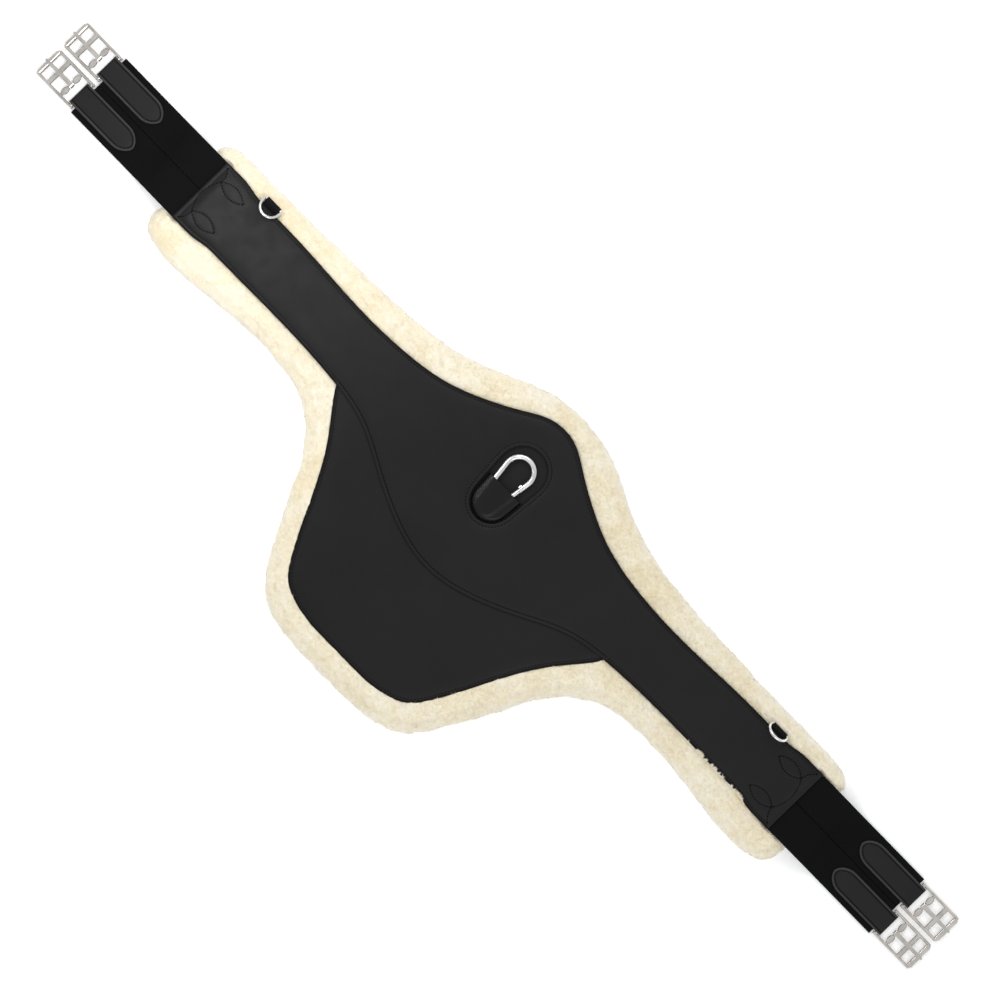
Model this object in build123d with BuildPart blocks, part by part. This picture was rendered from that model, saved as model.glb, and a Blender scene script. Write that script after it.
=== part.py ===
from build123d import *
import os
from math import asin, atan, cos, degrees, hypot, radians, sin

os.makedirs("parts", exist_ok=True)

# A long fleece-lined leather girth with a belly guard, in millimetres. X runs along the girth, Y
# across it with the side rings at +Y and the guard at -Y, and Z up. The origin is mid-length and
# mid-strap, on the underside of the fleece.

# Lengths along X, from mid-length
LEATHER_END = 427.5
FLARE_START = 378.0
FLARE_END = 402.0
TAIL_START = 388.0        # the elastics are sewn in from here outwards
TAIL_CLEAR = 4.0          # the rim and the padding stop this far short of them
DROP_START = 449.0        # the elastics come down to the floor between these two
DROP_END = 500.0
CHAPE_TIP = 505.0
CHAPE_SHOULDER = 522.0
ELASTIC_END = 575.0
STRAP_BAR = 580.0
SIDE_RING = 365.0

# Heights of the layers, from the floor
FLEECE = 18.0
BACKING = 1.5
LINING = 2.0
LEATHER = 3.0
Z_BACKING = FLEECE
Z_LINING = Z_BACKING + BACKING
Z_CORE = Z_LINING + LINING
Z_LEATHER = 26.5
LEATHER_TOP = Z_LEATHER + LEATHER
Z_GUARD = Z_LEATHER - LEATHER
RIM = 6.0                 # width of the turned-down rim around the padding
GAP = 0.1
SPARE = 10.0              # overrun of a cutting shape
WIDE = 600.0              # wider than the girth, for cuts right across it

# The leather of the strap, +X half: front edge with its peak, then the edges beside the guard
STRAP_HALF = 39.0
FRONT_EDGE = [(0, 94.5), (40, 79.5), (80, 57.5), (120, 42), (160, 34.8), (215, 31.5), (300, 34.5),
              (FLARE_START, 35.5)]
REAR_EDGE = [(0, -101.5), (50, -92), (100, -70), (150, -46), (200, -37.5), (250, -34.7),
             (320, -34.6), (FLARE_START, -35)]
# The guard, +X half: its free side and foot, and its top edge hidden under the strap
GUARD_SIDE = [(196, -31), (180, -56), (160, -81), (140, -113), (120, -153), (100, -191),
              (84, -211), (64, -219.5), (0, -224)]
GUARD_TOP = [(170, -31), (140, -38), (110, -51), (60, -76), (0, -88)]

# The fleece stands out past the leather all round, and sits a little towards +X
FLEECE_SHIFT = 5.0
FLEECE_END = 448.5
FLEECE_FRONT = [(0, 115), (50, 107), (90, 88.5), (130, 73), (190, 62.5), (270, 58.5), (400, 57),
                (430, 55.5)]
FLEECE_REAR = [(426, -71), (400, -73), (330, -66), (262, -63), (215, -72), (190, -88),
               (168, -115), (148, -155), (128, -192), (108, -225), (85, -242), (45, -250), (0, -251)]
FLEECE_CORNERS = (42.0, -50.0)

# The webbing core down the middle of the padding
CORE_HALF = 25.0
CORE_WEB = 1.8
CORE_SHORT = 2.0          # it stops this far inside the leather's ends

# The elastics, two side by side at each end
ROW = 19.4                # each buckle's distance from the strap's middle line
ELASTIC_WIDTH = 38.0
ELASTIC = 3.0
Z_TAIL = Z_LEATHER - GAP - ELASTIC / 2

# The buckles, measured outwards from the strap bar's centre line
BAR_R = 1.6
CHAPE_LEATHER = 1.6
CHAPE_WIDTH = 26.5
CHAPE_FOLD = 1.2
FOLD_IN = 1.65
FOLD_OUT = FOLD_IN + CHAPE_LEATHER
Z_BAR = FOLD_OUT
FRAME_WIDTH = 34.0
FRAME_CORNER = 2.2
FRAME_BEVEL = 0.6
RAIL = 3.0
RAIL_THICK = 3.3
RAIL_INNER_END = -3.0
TONGUE_BAR = 14.5
TONGUE_BAR_R = 1.5
HUMP = 8.2                # the two swellings of the tongue bar, beside the tongue's notch
HUMP_SIZE = (3.25, 5.2)
NOTCH = 8.0
BAR_IN_RAIL = 1.0
CROSS_BAR = 32.0
CROSS_WIDTH = 5.0
OUTER_BAR = 46.5
OUTER_BAR_R = 1.75
ROLLER_IN = 1.85
ROLLER_PLAY = 0.3
TONGUE_TIP = 50.5
TONGUE_BASE = 4.8
TONGUE_END = 3.2
TONGUE_EYE = 3.1
TONGUE_TAPER = (6.0, 2.0) # from this far past its bar to this far short of its tip
# The tongue from the side: (distance from the strap bar, height above the bars' middle plane)
TONGUE_BACK = [(TONGUE_BAR, TONGUE_EYE), (38, 5.35), (44, 5.75), (48, 5.55), (TONGUE_TIP, 4.65)]
TONGUE_UNDER = [(TONGUE_TIP, 3.65), (48.5, 3.35), (41.5, 3.35), (34, 2.95), (20, 0.95),
                (TONGUE_BAR, -0.5)]

# The side rings: straight bar in a webbing loop, round bow
RING_WIRE = 1.5
RING_HALF = 10.75
RING_CORNER = 1.75
RING_ARM = 4.75
WEB = 1.2
LOOP_WIDTH = 18.0
LOOP_TAIL = 25.0
LOOP_LIP = 36.2           # where the webbing leaves the strap to go round the ring
LOOP_NIP = 0.4
RING_Z = 28.0
RING_SEATS = {"left": (-SIDE_RING, 42.0, 28.0), "right": (SIDE_RING, 38.5, 60.0)}

# The recess in the strap, the snap hook that lies in it and the pouch that holds the hook
RECESS_TOP = (35.0, 26.0)
RECESS_FOOT = (-8.5, 22.5)
LINER = 0.7
POUCH_REST = 0.3          # clearance under the pouch where it lies in the recess
Z_LINER = Z_CORE + CORE_WEB
POUCH_GAP = 1.2
POUCH_MOUTH = 10.7
POUCH_WALL = 2.5
POUCH_BASE = 1.0
POUCH_TOP = 2.0
POUCH_EDGE = 1.6
POUCH_FOOT = 2.0
POUCH_CAVITY_LIP = 1.0
HOOK_WIRE = 3.0
HOOK_SLACK = 0.15
Z_POUCH = Z_LINER + LINER + POUCH_REST
Z_HOOK = Z_POUCH + POUCH_BASE + HOOK_SLACK + HOOK_WIRE
POUCH_HEIGHT = POUCH_BASE + 2 * (HOOK_WIRE + HOOK_SLACK) + POUCH_TOP
HOOK_X = -2.0             # the hook sits a little off the recess's middle
HOOK_TOP = (32.0, 15.2)
HOOK_FOOT = (-14.2, 9.2)
GATE_WIRE = 2.6
GATE_PIVOT = 3.0          # distances up the hook's gate side, from the foot bend
GATE_ROOT = 6.5
GATE_LAP = 34.5
NOSE = 40.0
NUB_R = 1.9               # the thumb nub on the gate's inner side, at its tip
NUB_IN = 2.4
NUB_LENGTH = 3.6
EYE_R = 2.8
EYE_HALF = 1.4
RIVET_R = 1.2


def hull(top, foot, inset=0.0):
    """An egg shape: two circles on the Y axis, each (y, radius), and their common tangents."""
    with BuildSketch() as sketch:
        for y, r in (top, foot):
            with Locations((0, y)):
                Circle(r - inset)
        make_hull()
    return sketch.sketch


def pushed(points, amount):
    """The points of a half outline moved sideways, to the right of their run when positive."""
    moved = []
    for n, (x, y) in enumerate(points):
        before, after = points[max(n - 1, 0)], points[min(n + 1, len(points) - 1)]
        dx, dy = after[0] - before[0], after[1] - before[1]
        if x == 0 or n == 0:
            dx, dy = dx or 1, 0
        length = hypot(dx, dy)
        moved.append((x + amount * dy / length, y - amount * dx / length))
    return moved


def strap_outline(inset=0.0):
    front = pushed(FRONT_EDGE, inset)
    rear = pushed(REAR_EDGE, -inset)
    half, end = STRAP_HALF - inset, LEATHER_END - inset
    with BuildSketch() as sketch:
        with BuildLine():
            Spline(*front, tangents=[(1, 0), (1, 0)])
            Spline(front[-1], (FLARE_END, half), tangents=[(1, 0), (1, 0)])
            Polyline((FLARE_END, half), (end, half), (end, -half), (FLARE_END, -half))
            Spline(rear[-1], (FLARE_END, -half), tangents=[(1, 0), (1, 0)])
            Spline(*rear, tangents=[(1, 0), (1, 0)])
            mirror(about=Plane.YZ)
        make_face()
    return sketch.sketch


def guard_outline(inset=0.0):
    side = pushed(GUARD_SIDE, inset)
    top = GUARD_TOP
    with BuildSketch() as sketch:
        with BuildLine():
            Spline(*side, tangents=[(-0.4, -1), (-1, 0)])
            Line(side[0], top[0])
            Spline(*top, tangents=[(-1, 0), (-1, 0)])
            mirror(about=Plane.YZ)
        make_face()
    return sketch.sketch


def fleece_outline(inset=0.0):
    front = pushed(FLEECE_FRONT, inset)
    rear = pushed(FLEECE_REAR, inset)
    end = FLEECE_END - inset
    high, low = FLEECE_CORNERS
    with BuildSketch() as sketch:
        with BuildLine():
            Spline(*front, tangents=[(1, 0), (1, -0.1)])
            Spline(front[-1], (end, high - inset), tangents=[(1, -0.1), (0, -1)])
            Line((end, high - inset), (end, low + inset))
            Spline((end, low + inset), rear[0], tangents=[(0, -1), (-1, -0.15)])
            Spline(*rear, tangents=[(-1, -0.15), (-1, 0)])
            mirror(about=Plane.YZ)
        make_face()
    return sketch.sketch.translate((FLEECE_SHIFT, 0, 0))


def keep(builder, name):
    builder.part.label = name
    export_step(builder.part, f"parts/{name}.step")


strap = strap_outline()
guard = guard_outline()
recess = hull(RECESS_TOP, RECESS_FOOT)
strap_core = strap_outline(RIM)
guard_core = guard_outline(RIM)
fleece = fleece_outline()

# ---- The fleece and its knitted backing ----
with BuildPart() as fleece_pad:
    with BuildSketch():
        add(fleece)
    extrude(amount=FLEECE)
keep(fleece_pad, "fleece_pad")

with BuildPart() as fleece_backing:
    with BuildSketch(Plane.XY.offset(Z_BACKING)):
        add(fleece_outline(3 * RIM))
    extrude(amount=BACKING)
keep(fleece_backing, "fleece_backing")

# ---- The leather lining that the fleece is sewn to ----
with BuildPart() as lining_panel:
    with BuildSketch(Plane.XY.offset(Z_LINING)):
        add(strap)
        add(guard)
    extrude(amount=LINING)
keep(lining_panel, "lining_panel")


def side_loops(slack=0.0):
    """Boxes around the tails of the two side ring loops."""
    for x in (-SIDE_RING, SIDE_RING):
        with Locations((x, LOOP_TAIL - slack, Z_LEATHER)):
            Box(LOOP_WIDTH + 2 * slack, STRAP_HALF - LOOP_TAIL, 2 * WEB + GAP + slack,
                align=(Align.CENTER, Align.MIN, Align.MAX), mode=Mode.SUBTRACT)


# ---- The strap's outer leather: a top sheet with a rim turned down round the padding ----
with BuildPart() as main_panel:
    with BuildSketch(Plane.XY.offset(Z_LEATHER)):
        add(strap)
        add(recess, mode=Mode.SUBTRACT)
    extrude(amount=LEATHER)
    with BuildSketch(Plane.XY.offset(Z_CORE)):
        add(strap)
        add(strap_core, mode=Mode.SUBTRACT)
        add(guard, mode=Mode.SUBTRACT)
        for side in (-1, 1):
            with Locations((side * LEATHER_END, 0)):
                Rectangle(2 * (LEATHER_END - TAIL_START + TAIL_CLEAR), WIDE, mode=Mode.SUBTRACT)
    extrude(amount=Z_LEATHER - Z_CORE)
    side_loops(GAP)
keep(main_panel, "main_panel")

# ---- The guard's outer leather, its top edge under the strap ----
with BuildPart() as guard_panel:
    with BuildSketch(Plane.XY.offset(Z_GUARD)):
        add(guard)
    extrude(amount=LEATHER)
    with BuildSketch(Plane.XY.offset(Z_CORE)):
        add(guard)
        add(guard_core, mode=Mode.SUBTRACT)
        add(strap, mode=Mode.SUBTRACT)
    extrude(amount=Z_GUARD - Z_CORE)
keep(guard_panel, "guard_panel")

# ---- The padding inside the strap, cut out for the core webbing, the guard and the recess ----
with BuildPart() as foam_core:
    with BuildSketch(Plane.XY.offset(Z_CORE)):
        add(strap_core)
        with BuildSketch(mode=Mode.INTERSECT):
            Rectangle(2 * (TAIL_START - TAIL_CLEAR), WIDE)
    extrude(amount=Z_LEATHER - Z_CORE)
    with BuildSketch(Plane.XY.offset(Z_CORE)):
        Rectangle(2 * LEATHER_END, 2 * CORE_HALF)
    extrude(amount=CORE_WEB, mode=Mode.SUBTRACT)
    with BuildSketch(Plane.XY.offset(Z_GUARD)):
        add(guard)
    extrude(amount=LEATHER, mode=Mode.SUBTRACT)
    with BuildSketch(Plane.XY.offset(Z_CORE)):
        add(recess)
    extrude(amount=Z_LEATHER - Z_CORE, mode=Mode.SUBTRACT)
    side_loops(GAP)
keep(foam_core, "foam_core")

with BuildPart() as guard_foam:
    with BuildSketch(Plane.XY.offset(Z_CORE)):
        add(guard_core)
        add(strap, mode=Mode.SUBTRACT)
    extrude(amount=Z_GUARD - Z_CORE - GAP)
keep(guard_foam, "guard_foam")

# ---- The webbing that carries the pull from one pair of elastics to the other ----
with BuildPart() as core_webbing:
    with BuildSketch(Plane.XY.offset(Z_CORE)):
        Rectangle(2 * (LEATHER_END - CORE_SHORT), 2 * CORE_HALF)
    extrude(amount=CORE_WEB)
keep(core_webbing, "core_webbing")

# ---- The recess: a thin leather floor on the core webbing ----
with BuildPart() as recess_liner:
    with BuildSketch(Plane.XY.offset(Z_LINER)):
        add(hull(RECESS_TOP, RECESS_FOOT, GAP))
    extrude(amount=LINER)
keep(recess_liner, "recess_liner")

# ---- The pouch over the hook's foot: two plies, closed round the foot, open at its mouth ----
with BuildPart() as hook_tab:
    with BuildSketch(Plane.XY.offset(Z_POUCH)):
        add(hull(RECESS_TOP, RECESS_FOOT, POUCH_GAP))
        with Locations((0, POUCH_MOUTH)):
            Rectangle(WIDE, WIDE, align=(Align.CENTER, Align.MIN), mode=Mode.SUBTRACT)
    extrude(amount=POUCH_HEIGHT)
    rim = hook_tab.edges().filter_by(Plane.XY)
    fillet([e for e in rim.group_by(Axis.Z)[-1] if e.center().Y < POUCH_MOUTH - GAP], POUCH_EDGE)
    foot = hook_tab.edges().group_by(Axis.Z)[0]
    fillet([e for e in foot if e.center().Y < POUCH_MOUTH - GAP], POUCH_FOOT)
    with BuildSketch(Plane.XY.offset(Z_POUCH + POUCH_BASE)):
        add(hull(RECESS_TOP, RECESS_FOOT, POUCH_GAP + POUCH_WALL))
        with Locations((0, POUCH_MOUTH + POUCH_CAVITY_LIP)):
            Rectangle(WIDE, WIDE, align=(Align.CENTER, Align.MIN), mode=Mode.SUBTRACT)
    extrude(amount=2 * (HOOK_WIRE + HOOK_SLACK), mode=Mode.SUBTRACT)
keep(hook_tab, "hook_tab")

# ---- The snap hook: a pear of round wire, open on its +X side where the gate closes it ----
LEAN = asin((HOOK_TOP[1] - HOOK_FOOT[1]) / (HOOK_TOP[0] - HOOK_FOOT[0]))
FOOT_BEND = Vector(HOOK_X + HOOK_FOOT[1] * cos(LEAN), HOOK_FOOT[0] - HOOK_FOOT[1] * sin(LEAN),
                   Z_HOOK)
TOP_BEND = Vector(HOOK_X + HOOK_TOP[1] * cos(LEAN), HOOK_TOP[0] - HOOK_TOP[1] * sin(LEAN), Z_HOOK)
UP_LEG = (TOP_BEND - FOOT_BEND).normalized()


def on_leg(distance):
    return FOOT_BEND + UP_LEG * distance


def leg_plane(distance):
    """Across the gate side: local x points out of the hook, local y up, local z along the leg."""
    return Plane(origin=on_leg(distance), x_dir=UP_LEG.cross(Vector(0, 0, 1)), z_dir=UP_LEG)


def pivot_plane(height):
    return Plane(origin=on_leg(GATE_PIVOT) + Vector(0, 0, height), x_dir=UP_LEG, z_dir=(0, 0, 1))


def to_left(point):
    """The same point on the hook's other side."""
    return Vector(2 * HOOK_X - point.X, point.Y, point.Z)


with BuildPart() as hook_body:
    with BuildLine() as pear:
        Line(on_leg(GATE_LAP), TOP_BEND)
        ThreePointArc(TOP_BEND, (HOOK_X, sum(HOOK_TOP), Z_HOOK), to_left(TOP_BEND))
        Line(to_left(TOP_BEND), to_left(FOOT_BEND))
        ThreePointArc(to_left(FOOT_BEND), (HOOK_X, HOOK_FOOT[0] - HOOK_FOOT[1], Z_HOOK),
                      FOOT_BEND)
        Line(FOOT_BEND, on_leg(GATE_PIVOT))
    with BuildSketch(leg_plane(GATE_LAP)):
        Circle(HOOK_WIRE)
    sweep(path=pear.line)
    # the eye of the hook round the rivet, slotted for the gate
    with BuildSketch(pivot_plane(-HOOK_WIRE)):
        Circle(HOOK_WIRE)
    extrude(amount=2 * HOOK_WIRE)
    with BuildSketch(pivot_plane(-EYE_HALF - GAP)):
        with Locations((-HOOK_WIRE - 2 * GAP, 0)):
            Rectangle(4 * HOOK_WIRE, 4 * HOOK_WIRE, align=(Align.MIN, Align.CENTER))
    extrude(amount=2 * (EYE_HALF + GAP), mode=Mode.SUBTRACT)
    with BuildSketch(pivot_plane(-2 * HOOK_WIRE)):
        Circle(RIVET_R)
    extrude(amount=4 * HOOK_WIRE, mode=Mode.SUBTRACT)
    # the nose keeps only its outer half beside the gate's tip
    with BuildSketch(leg_plane(GATE_LAP - GAP)):
        with Locations((GAP, 0)):
            Rectangle(3 * HOOK_WIRE, 3 * HOOK_WIRE, align=(Align.MAX, Align.CENTER))
    extrude(amount=NOSE - GATE_LAP + GAP, mode=Mode.SUBTRACT)
keep(hook_body, "hook_body")

with BuildPart() as hook_gate:
    with BuildSketch(pivot_plane(-EYE_HALF)):
        Circle(EYE_R)
        Rectangle(2 * HOOK_WIRE, 2 * GATE_WIRE, align=(Align.MIN, Align.CENTER))
    extrude(amount=2 * EYE_HALF)
    with BuildSketch(leg_plane(GATE_ROOT)):
        Circle(GATE_WIRE)
    extrude(amount=GATE_LAP - 2 * GAP - GATE_ROOT)
    # the tip's inner half laps the hook's nose, and carries the nub
    tip = NOSE - 3 * GAP
    for start, radius, inwards in ((GATE_LAP - 1, GATE_WIRE, 0), (tip - NUB_LENGTH, NUB_R, NUB_IN)):
        with BuildSketch(leg_plane(start)):
            with Locations((-inwards, 0)):
                Circle(radius)
            with Locations((-GAP, 0)):
                Rectangle(3 * HOOK_WIRE, 3 * HOOK_WIRE, align=(Align.MIN, Align.CENTER),
                          mode=Mode.SUBTRACT)
        extrude(amount=tip - start)
    with BuildSketch(pivot_plane(-HOOK_WIRE)):
        Circle(RIVET_R + GAP / 2)
    extrude(amount=2 * HOOK_WIRE, mode=Mode.SUBTRACT)
keep(hook_gate, "hook_gate")

with BuildPart() as hook_rivet:
    with BuildSketch(pivot_plane(-HOOK_WIRE)):
        Circle(RIVET_R)
    extrude(amount=2 * HOOK_WIRE)
keep(hook_rivet, "hook_rivet")

# ---- The side rings and their webbing loops on the strap's front edge ----
for side, (ring_x, bar_y, tilt) in RING_SEATS.items():
    back = Vector(0, -cos(radians(tilt)), sin(radians(tilt)))
    seat = Plane(origin=(ring_x, bar_y, RING_Z), x_dir=(1, 0, 0), z_dir=Vector(1, 0, 0).cross(back))
    with BuildPart() as dee_ring:
        with BuildLine(seat) as bow:
            Line((0, 0), (RING_HALF - RING_CORNER, 0))
            RadiusArc((RING_HALF - RING_CORNER, 0), (RING_HALF, RING_CORNER), -RING_CORNER)
            Line((RING_HALF, RING_CORNER), (RING_HALF, RING_ARM))
            RadiusArc((RING_HALF, RING_ARM), (-RING_HALF, RING_ARM), -RING_HALF)
            Line((-RING_HALF, RING_ARM), (-RING_HALF, RING_CORNER))
            RadiusArc((-RING_HALF, RING_CORNER), (RING_CORNER - RING_HALF, 0), -RING_CORNER)
            Line((RING_CORNER - RING_HALF, 0), (0, 0))
        with BuildSketch(Plane(origin=seat.origin, x_dir=seat.y_dir, z_dir=(1, 0, 0))):
            Circle(RING_WIRE)
        sweep(path=bow.line)
    keep(dee_ring, f"dee_ring_{side}")

    with BuildPart() as dee_loop:
        with BuildSketch(Plane.YZ.offset(ring_x - LOOP_WIDTH / 2)):
            with Locations((bar_y, RING_Z)):
                Circle(RING_WIRE + GAP + WEB)
            with Locations((LOOP_LIP, Z_LEATHER - GAP)):
                Rectangle(LOOP_NIP, 2 * WEB, align=(Align.CENTER, Align.MAX))
            make_hull()
            with Locations((LOOP_TAIL, Z_LEATHER - GAP)):
                Rectangle(LOOP_LIP - LOOP_TAIL, 2 * WEB, align=(Align.MIN, Align.MAX))
            with Locations((bar_y, RING_Z)):
                Circle(RING_WIRE + GAP, mode=Mode.SUBTRACT)
        extrude(amount=LOOP_WIDTH)
    keep(dee_loop, f"dee_loop_{side}")


# ---- The four elastics, chapes and roller buckles ----
def keep_pair(builder, name, row):
    """Writes a piece that was made at the +X end, and its mirror image at the -X end."""
    for side, part in (("right", builder.part), ("left", builder.part.mirror(Plane.YZ))):
        part.label = f"{name}_{side}_{row}"
        export_step(part, f"parts/{part.label}.step")


def beside(y):
    """An upright plane along the girth: local x along X, local y up."""
    return Plane(origin=(0, y, 0), x_dir=(1, 0, 0), z_dir=(0, -1, 0))


def buckle_sketch(height, y):
    """Level plane at a buckle: local x outwards from its strap bar, local y across."""
    return Plane(origin=(STRAP_BAR, y, height), x_dir=(1, 0, 0), z_dir=(0, 0, 1))


drop = Z_TAIL - Z_BAR
run = DROP_END - DROP_START
turn = 2 * atan(drop / run)
bend = run / (2 * sin(turn))
inner = FRAME_WIDTH / 2 - RAIL
half = CHAPE_WIDTH / 2
reach = STRAP_BAR - CHAPE_TIP + SPARE
back_end = STRAP_BAR + SPARE

for row, y in (("front", ROW), ("rear", -ROW)):
    with BuildPart() as elastic:
        with BuildSketch(beside(y)):
            with BuildLine():
                Line((TAIL_START, Z_TAIL), (DROP_START, Z_TAIL))
                CenterArc((DROP_START, Z_TAIL - bend), bend, 90, -degrees(turn))
                CenterArc((DROP_END, Z_BAR + bend), bend, 270, -degrees(turn))
                Line((DROP_END, Z_BAR), (ELASTIC_END, Z_BAR))
            trace(line_width=ELASTIC)
        extrude(amount=ELASTIC_WIDTH / 2, both=True)
    keep_pair(elastic, "elastic", row)

    with BuildPart() as chape:
        with BuildSketch(beside(y)):
            with Locations((STRAP_BAR + CHAPE_FOLD, Z_BAR)):
                Circle(FOLD_OUT)
                Rectangle(reach, 2 * FOLD_OUT, align=(Align.MAX, Align.CENTER))
                Circle(FOLD_IN, mode=Mode.SUBTRACT)
                Rectangle(reach, 2 * FOLD_IN, align=(Align.MAX, Align.CENTER), mode=Mode.SUBTRACT)
        extrude(amount=CHAPE_WIDTH / 2, both=True)
        with BuildSketch(Plane.XY):
            with BuildLine():
                Line((CHAPE_SHOULDER, y + half), (back_end, y + half))
                Line((back_end, y + half), (back_end, y - half))
                Line((back_end, y - half), (CHAPE_SHOULDER, y - half))
                Spline((CHAPE_SHOULDER, y - half), (CHAPE_TIP, y), tangents=[(-1, 0), (-0.35, 1)])
                Spline((CHAPE_TIP, y), (CHAPE_SHOULDER, y + half), tangents=[(0.35, 1), (1, 0)])
            make_face()
        extrude(amount=4 * Z_BAR, mode=Mode.INTERSECT)
    keep_pair(chape, "chape", row)

    with BuildPart() as buckle_frame:
        with BuildSketch(buckle_sketch(Z_BAR - RAIL_THICK / 2, y)):
            for rail_y in (-inner - RAIL / 2, inner + RAIL / 2):
                with Locations(((OUTER_BAR + OUTER_BAR_R + RAIL_INNER_END) / 2, rail_y)):
                    Rectangle(OUTER_BAR + OUTER_BAR_R - RAIL_INNER_END, RAIL)
            with Locations((CROSS_BAR, 0)):
                Rectangle(CROSS_WIDTH, 2 * inner)
            with Locations((TONGUE_BAR, 0)):
                Rectangle(2 * TONGUE_BAR_R, 2 * inner)
                with Locations((0, HUMP), (0, -HUMP)):
                    Ellipse(*HUMP_SIZE)
                Rectangle(NOTCH, TONGUE_BASE + 1, mode=Mode.SUBTRACT)
        extrude(amount=RAIL_THICK)
        corners = buckle_frame.edges().filter_by(Axis.Z).group_by(Axis.X)[-1].sort_by(Axis.Y)
        fillet([corners[0], corners[-1]], FRAME_CORNER)
        chamfer(buckle_frame.faces().filter_by(Axis.Z).edges(), FRAME_BEVEL)
        with BuildSketch(beside(y)):
            with Locations((STRAP_BAR, Z_BAR)):
                Circle(BAR_R)
            with Locations((STRAP_BAR + OUTER_BAR, Z_BAR)):
                Circle(OUTER_BAR_R)
            with Locations((STRAP_BAR + TONGUE_BAR, Z_BAR)):
                Circle(TONGUE_BAR_R)
        extrude(amount=inner + BAR_IN_RAIL, both=True)
    keep_pair(buckle_frame, "buckle_frame", row)

    with BuildPart() as buckle_roller:
        with BuildSketch(beside(y)):
            with Locations((STRAP_BAR + OUTER_BAR, Z_BAR)):
                Circle(FOLD_OUT)
                Circle(ROLLER_IN, mode=Mode.SUBTRACT)
        extrude(amount=inner - ROLLER_PLAY, both=True)
    keep_pair(buckle_roller, "buckle_roller", row)

    with BuildPart() as buckle_tongue:
        with BuildSketch(beside(y)):
            with BuildLine(Plane.XY):
                Polyline(*TONGUE_BACK, *TONGUE_UNDER, close=True)
            shape = make_face(mode=Mode.PRIVATE)
            add(shape.translate((STRAP_BAR, Z_BAR, 0)))
            with Locations((STRAP_BAR + TONGUE_BAR, Z_BAR)):
                Circle(TONGUE_EYE)
                Circle(TONGUE_BAR_R + GAP, mode=Mode.SUBTRACT)
        extrude(amount=TONGUE_BASE / 2, both=True)
        with BuildSketch(buckle_sketch(0, y)):
            side = [(TONGUE_BAR - SPARE, TONGUE_BASE / 2),
                    (TONGUE_BAR + TONGUE_TAPER[0], TONGUE_BASE / 2),
                    (TONGUE_TIP - TONGUE_TAPER[1], TONGUE_END / 2), (TONGUE_TIP, TONGUE_END / 4)]
            with BuildLine():
                Polyline(*side, *[(x, -across) for x, across in reversed(side)], close=True)
            make_face()
        extrude(amount=4 * Z_BAR, mode=Mode.INTERSECT)
    keep_pair(buckle_tongue, "buckle_tongue", row)
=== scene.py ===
import math
from collections import namedtuple

import bmesh
import bpy
import numpy as np
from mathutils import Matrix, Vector, noise
from mathutils.geometry import delaunay_2d_cdt


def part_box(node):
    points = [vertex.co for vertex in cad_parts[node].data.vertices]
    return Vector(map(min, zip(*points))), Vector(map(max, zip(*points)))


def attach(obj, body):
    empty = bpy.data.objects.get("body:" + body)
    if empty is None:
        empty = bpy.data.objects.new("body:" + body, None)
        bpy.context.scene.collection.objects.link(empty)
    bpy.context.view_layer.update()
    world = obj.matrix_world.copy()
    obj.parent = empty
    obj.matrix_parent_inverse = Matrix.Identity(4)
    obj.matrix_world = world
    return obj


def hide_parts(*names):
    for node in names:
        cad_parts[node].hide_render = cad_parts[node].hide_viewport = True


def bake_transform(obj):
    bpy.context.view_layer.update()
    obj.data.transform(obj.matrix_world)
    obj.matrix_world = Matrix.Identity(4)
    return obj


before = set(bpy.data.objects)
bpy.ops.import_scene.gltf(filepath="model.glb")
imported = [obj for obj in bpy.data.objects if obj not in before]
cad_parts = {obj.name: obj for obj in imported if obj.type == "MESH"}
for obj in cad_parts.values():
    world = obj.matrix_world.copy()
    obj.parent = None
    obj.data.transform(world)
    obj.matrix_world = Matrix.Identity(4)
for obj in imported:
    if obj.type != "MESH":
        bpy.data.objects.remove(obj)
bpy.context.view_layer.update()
MM = 0.001
SIDES = {"left": -1, "right": 1}
rng = np.random.default_rng(7)


# ---- Materials ----
def material(name, **sockets):
    """A Principled material, helpers that add nodes and link them to its shader, and the object's
    coordinates, in metres."""
    made = bpy.data.materials.new(name)
    made.use_nodes = True
    tree = made.node_tree
    shader = tree.nodes["Principled BSDF"]
    for socket, value in sockets.items():
        shader.inputs[socket.replace("_", " ")].default_value = value
    coords = tree.nodes.new("ShaderNodeTexCoord")

    def add(kind, inputs=None, **settings):
        node = tree.nodes.new(f"ShaderNode{kind}")
        for key, value in settings.items():
            setattr(node, key, value)
        for key, value in (inputs or {}).items():
            if isinstance(value, bpy.types.NodeSocket):
                tree.links.new(value, node.inputs[key])
            else:
                node.inputs[key].default_value = value
        return node

    def link(source, socket):
        tree.links.new(source, shader.inputs[socket])

    return made, add, link, coords.outputs["Object"]


def ramp(add, source, stops):
    """A colour ramp with (position, colour) stops; a plain number is a grey."""
    node = add("ValToRGB", {"Fac": source})
    elements = node.color_ramp.elements
    while len(elements) < len(stops):
        elements.new(0.5)
    for element, (position, colour) in zip(elements, stops):
        element.position = position
        element.color = (*colour, 1) if isinstance(colour, tuple) else (colour, colour, colour, 1)
    return node.outputs["Color"]


def combine(add, a, b, operation="ADD"):
    return add("Math", {0: a, 1: b}, operation=operation).outputs[0]


def roughen(add, link, height, strength, distance):
    """Bumps on the surface, distance in metres."""
    bump = add("Bump", {"Height": height, "Strength": strength, "Distance": distance})
    link(bump.outputs["Normal"], "Normal")


TAUT_FROM, TAUT_TO = 0.365, 0.410           # how far out the leather grows taut, in metres


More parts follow.
